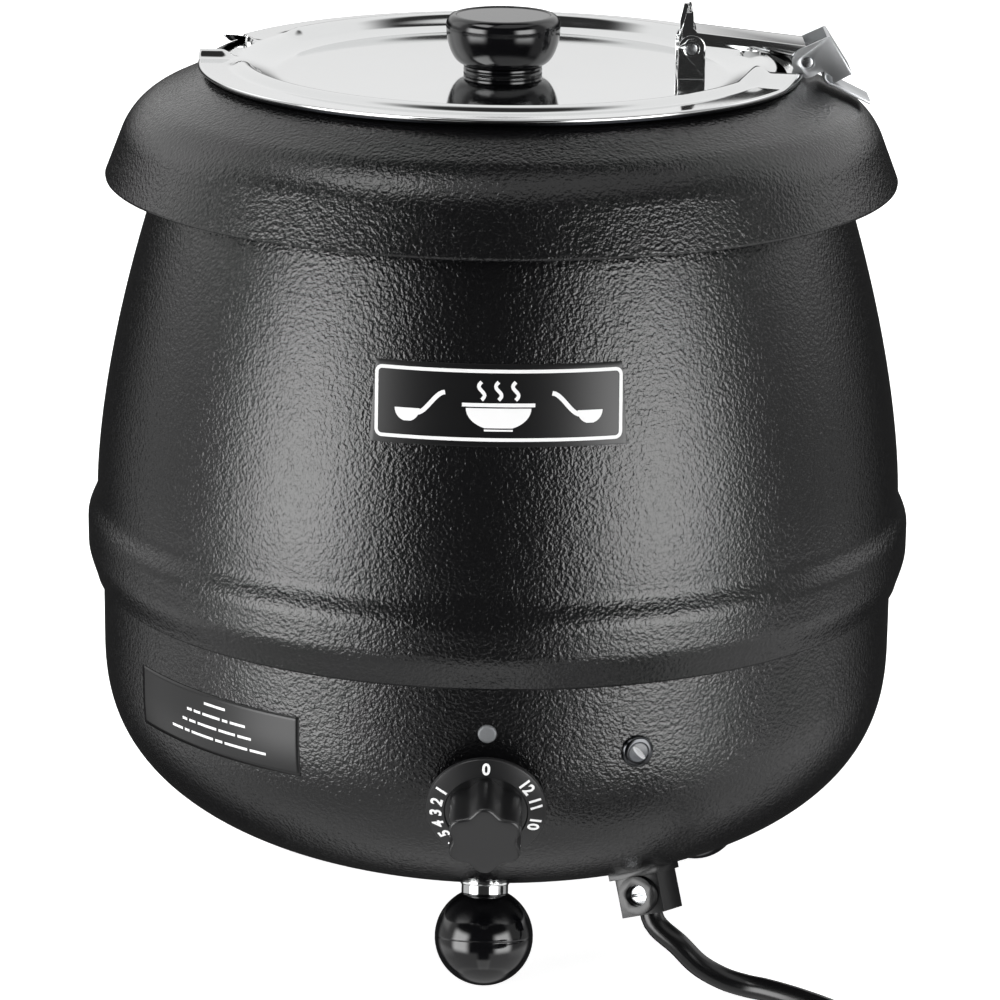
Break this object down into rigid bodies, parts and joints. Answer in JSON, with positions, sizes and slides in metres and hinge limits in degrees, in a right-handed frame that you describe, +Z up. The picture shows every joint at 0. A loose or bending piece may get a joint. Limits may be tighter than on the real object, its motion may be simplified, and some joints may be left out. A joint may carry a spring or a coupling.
{
  "type": "soup kettle",
  "caption": "Countertop electric soup kettle: black barrel-shaped body on ball feet, lift-out pot, mirror steel hinged lid with ladle notch, front dial and lamp.",
  "frame": {"origin": "on the table, under the middle of the body", "axes": "+Z up; the dial faces -Y, the lid's hinge is at +X and the ladle notch at -X"},
  "size_m": [0.3484, 0.4989, 0.3887],
  "materials": {
    "black_powder_coat": "black powder coat with a wrinkled, orange-peel gloss",
    "polished_steel": "mirror-polished stainless steel",
    "zinc_steel": "bright zinc-plated steel",
    "aluminium_sheet": "plain spun aluminium",
    "element_sheath": "dull oxidised nickel-alloy tube",
    "glass_wool": "pale yellow glass-fibre blanket",
    "black_phenolic": "gloss black moulded phenolic",
    "brass": "plain brass",
    "copper": "drawn copper",
    "cream_plastic": "cream heat-proof moulding",
    "chrome": "chromed bezel",
    "clear_lens": "clear lens with fine slanting ribs",
    "black_plate": "satin black printed plate",
    "black_plastic": "black nylon with a faint sheen",
    "black_rubber": "black flexible cord jacket",
    "wire_sleeve": "braided brown wire sleeve"
  },
  "bodies": {
    "base": {"outer_shell": "black_powder_coat", "top_ring": "black_powder_coat", "base_bowl": "black_powder_coat", "water_well": "aluminium_sheet", "tie_bolt": "zinc_steel", "tie_washer": "zinc_steel", "heating_element": "element_sheath", "clamp_studs": "zinc_steel", "clamp_plate": "aluminium_sheet", "clamp_nuts": "zinc_steel", "insulation": "glass_wool", "heat_shield": "aluminium_sheet", "thermostat_body": "cream_plastic", "thermostat_screws": "zinc_steel", "capillary_bulb": "copper", "index_dot": "aluminium_sheet", "lamp_bezel": "chrome", "lamp_lens": "clear_lens", "lamp_body": "cream_plastic", "nameplate": "black_plate", "info_label": "black_plate", "terminal_block": "cream_plastic", "terminal_screws": "brass", "earth_stud": "brass", "foot_front": "black_phenolic", "foot_right": "black_phenolic", "foot_left": "black_phenolic", "foot_collars": "polished_steel", "foot_studs": "zinc_steel", "foot_nuts": "zinc_steel", "gland_body": "black_plastic", "gland_clamp": "cream_plastic", "gland_screw": "zinc_steel", "gland_nut": "zinc_steel", "cord": "black_rubber", "cord_coil": "black_rubber", "cord_tie": "black_plastic", "plug_body": "black_rubber", "plug_blades": "brass", "plug_earth_pin": "brass", "lead_wires": "wire_sleeve"},
    "dial": {"dial": "black_phenolic", "thermostat_shaft": "brass"},
    "pot": {"soup_pot": "polished_steel", "hinge_channel": "polished_steel", "hinge_pin": "zinc_steel", "lever_pin": "zinc_steel", "lever_spring": "zinc_steel"},
    "lever": {"release_lever": "polished_steel"},
    "lid": {"lid": "polished_steel", "lid_knob": "black_phenolic", "knob_washer": "zinc_steel", "knob_screw": "zinc_steel", "lid_bracket": "polished_steel", "bracket_pin": "zinc_steel", "bracket_rivets": "zinc_steel", "lid_arm": "polished_steel"}
  },
  "joints": [
    {"name": "dial_turn", "type": "hinge", "parent": "base", "child": "dial", "pos_m": [-0.00288, -0.16506, 0.1035], "axis": [0.0169, 0.9658, 0.2588], "range_deg": [0, 303]},
    {"name": "pot_lift", "type": "slide", "parent": "base", "child": "pot", "axis": [0, 0, 1], "range_m": [0, 0.3]},
    {"name": "lid_hinge", "type": "hinge", "parent": "pot", "child": "lid", "pos_m": [0.1241, 0, 0.3684], "axis": [0, 1, 0], "range_deg": [0, 88]},
    {"name": "lever_release", "type": "hinge", "parent": "pot", "child": "lever", "pos_m": [0.1334, 0, 0.366], "axis": [0, -1, 0], "range_deg": [0, 14], "stiffness_Nm_per_rad": 0.2, "springref_deg": -11.46}
  ]
}
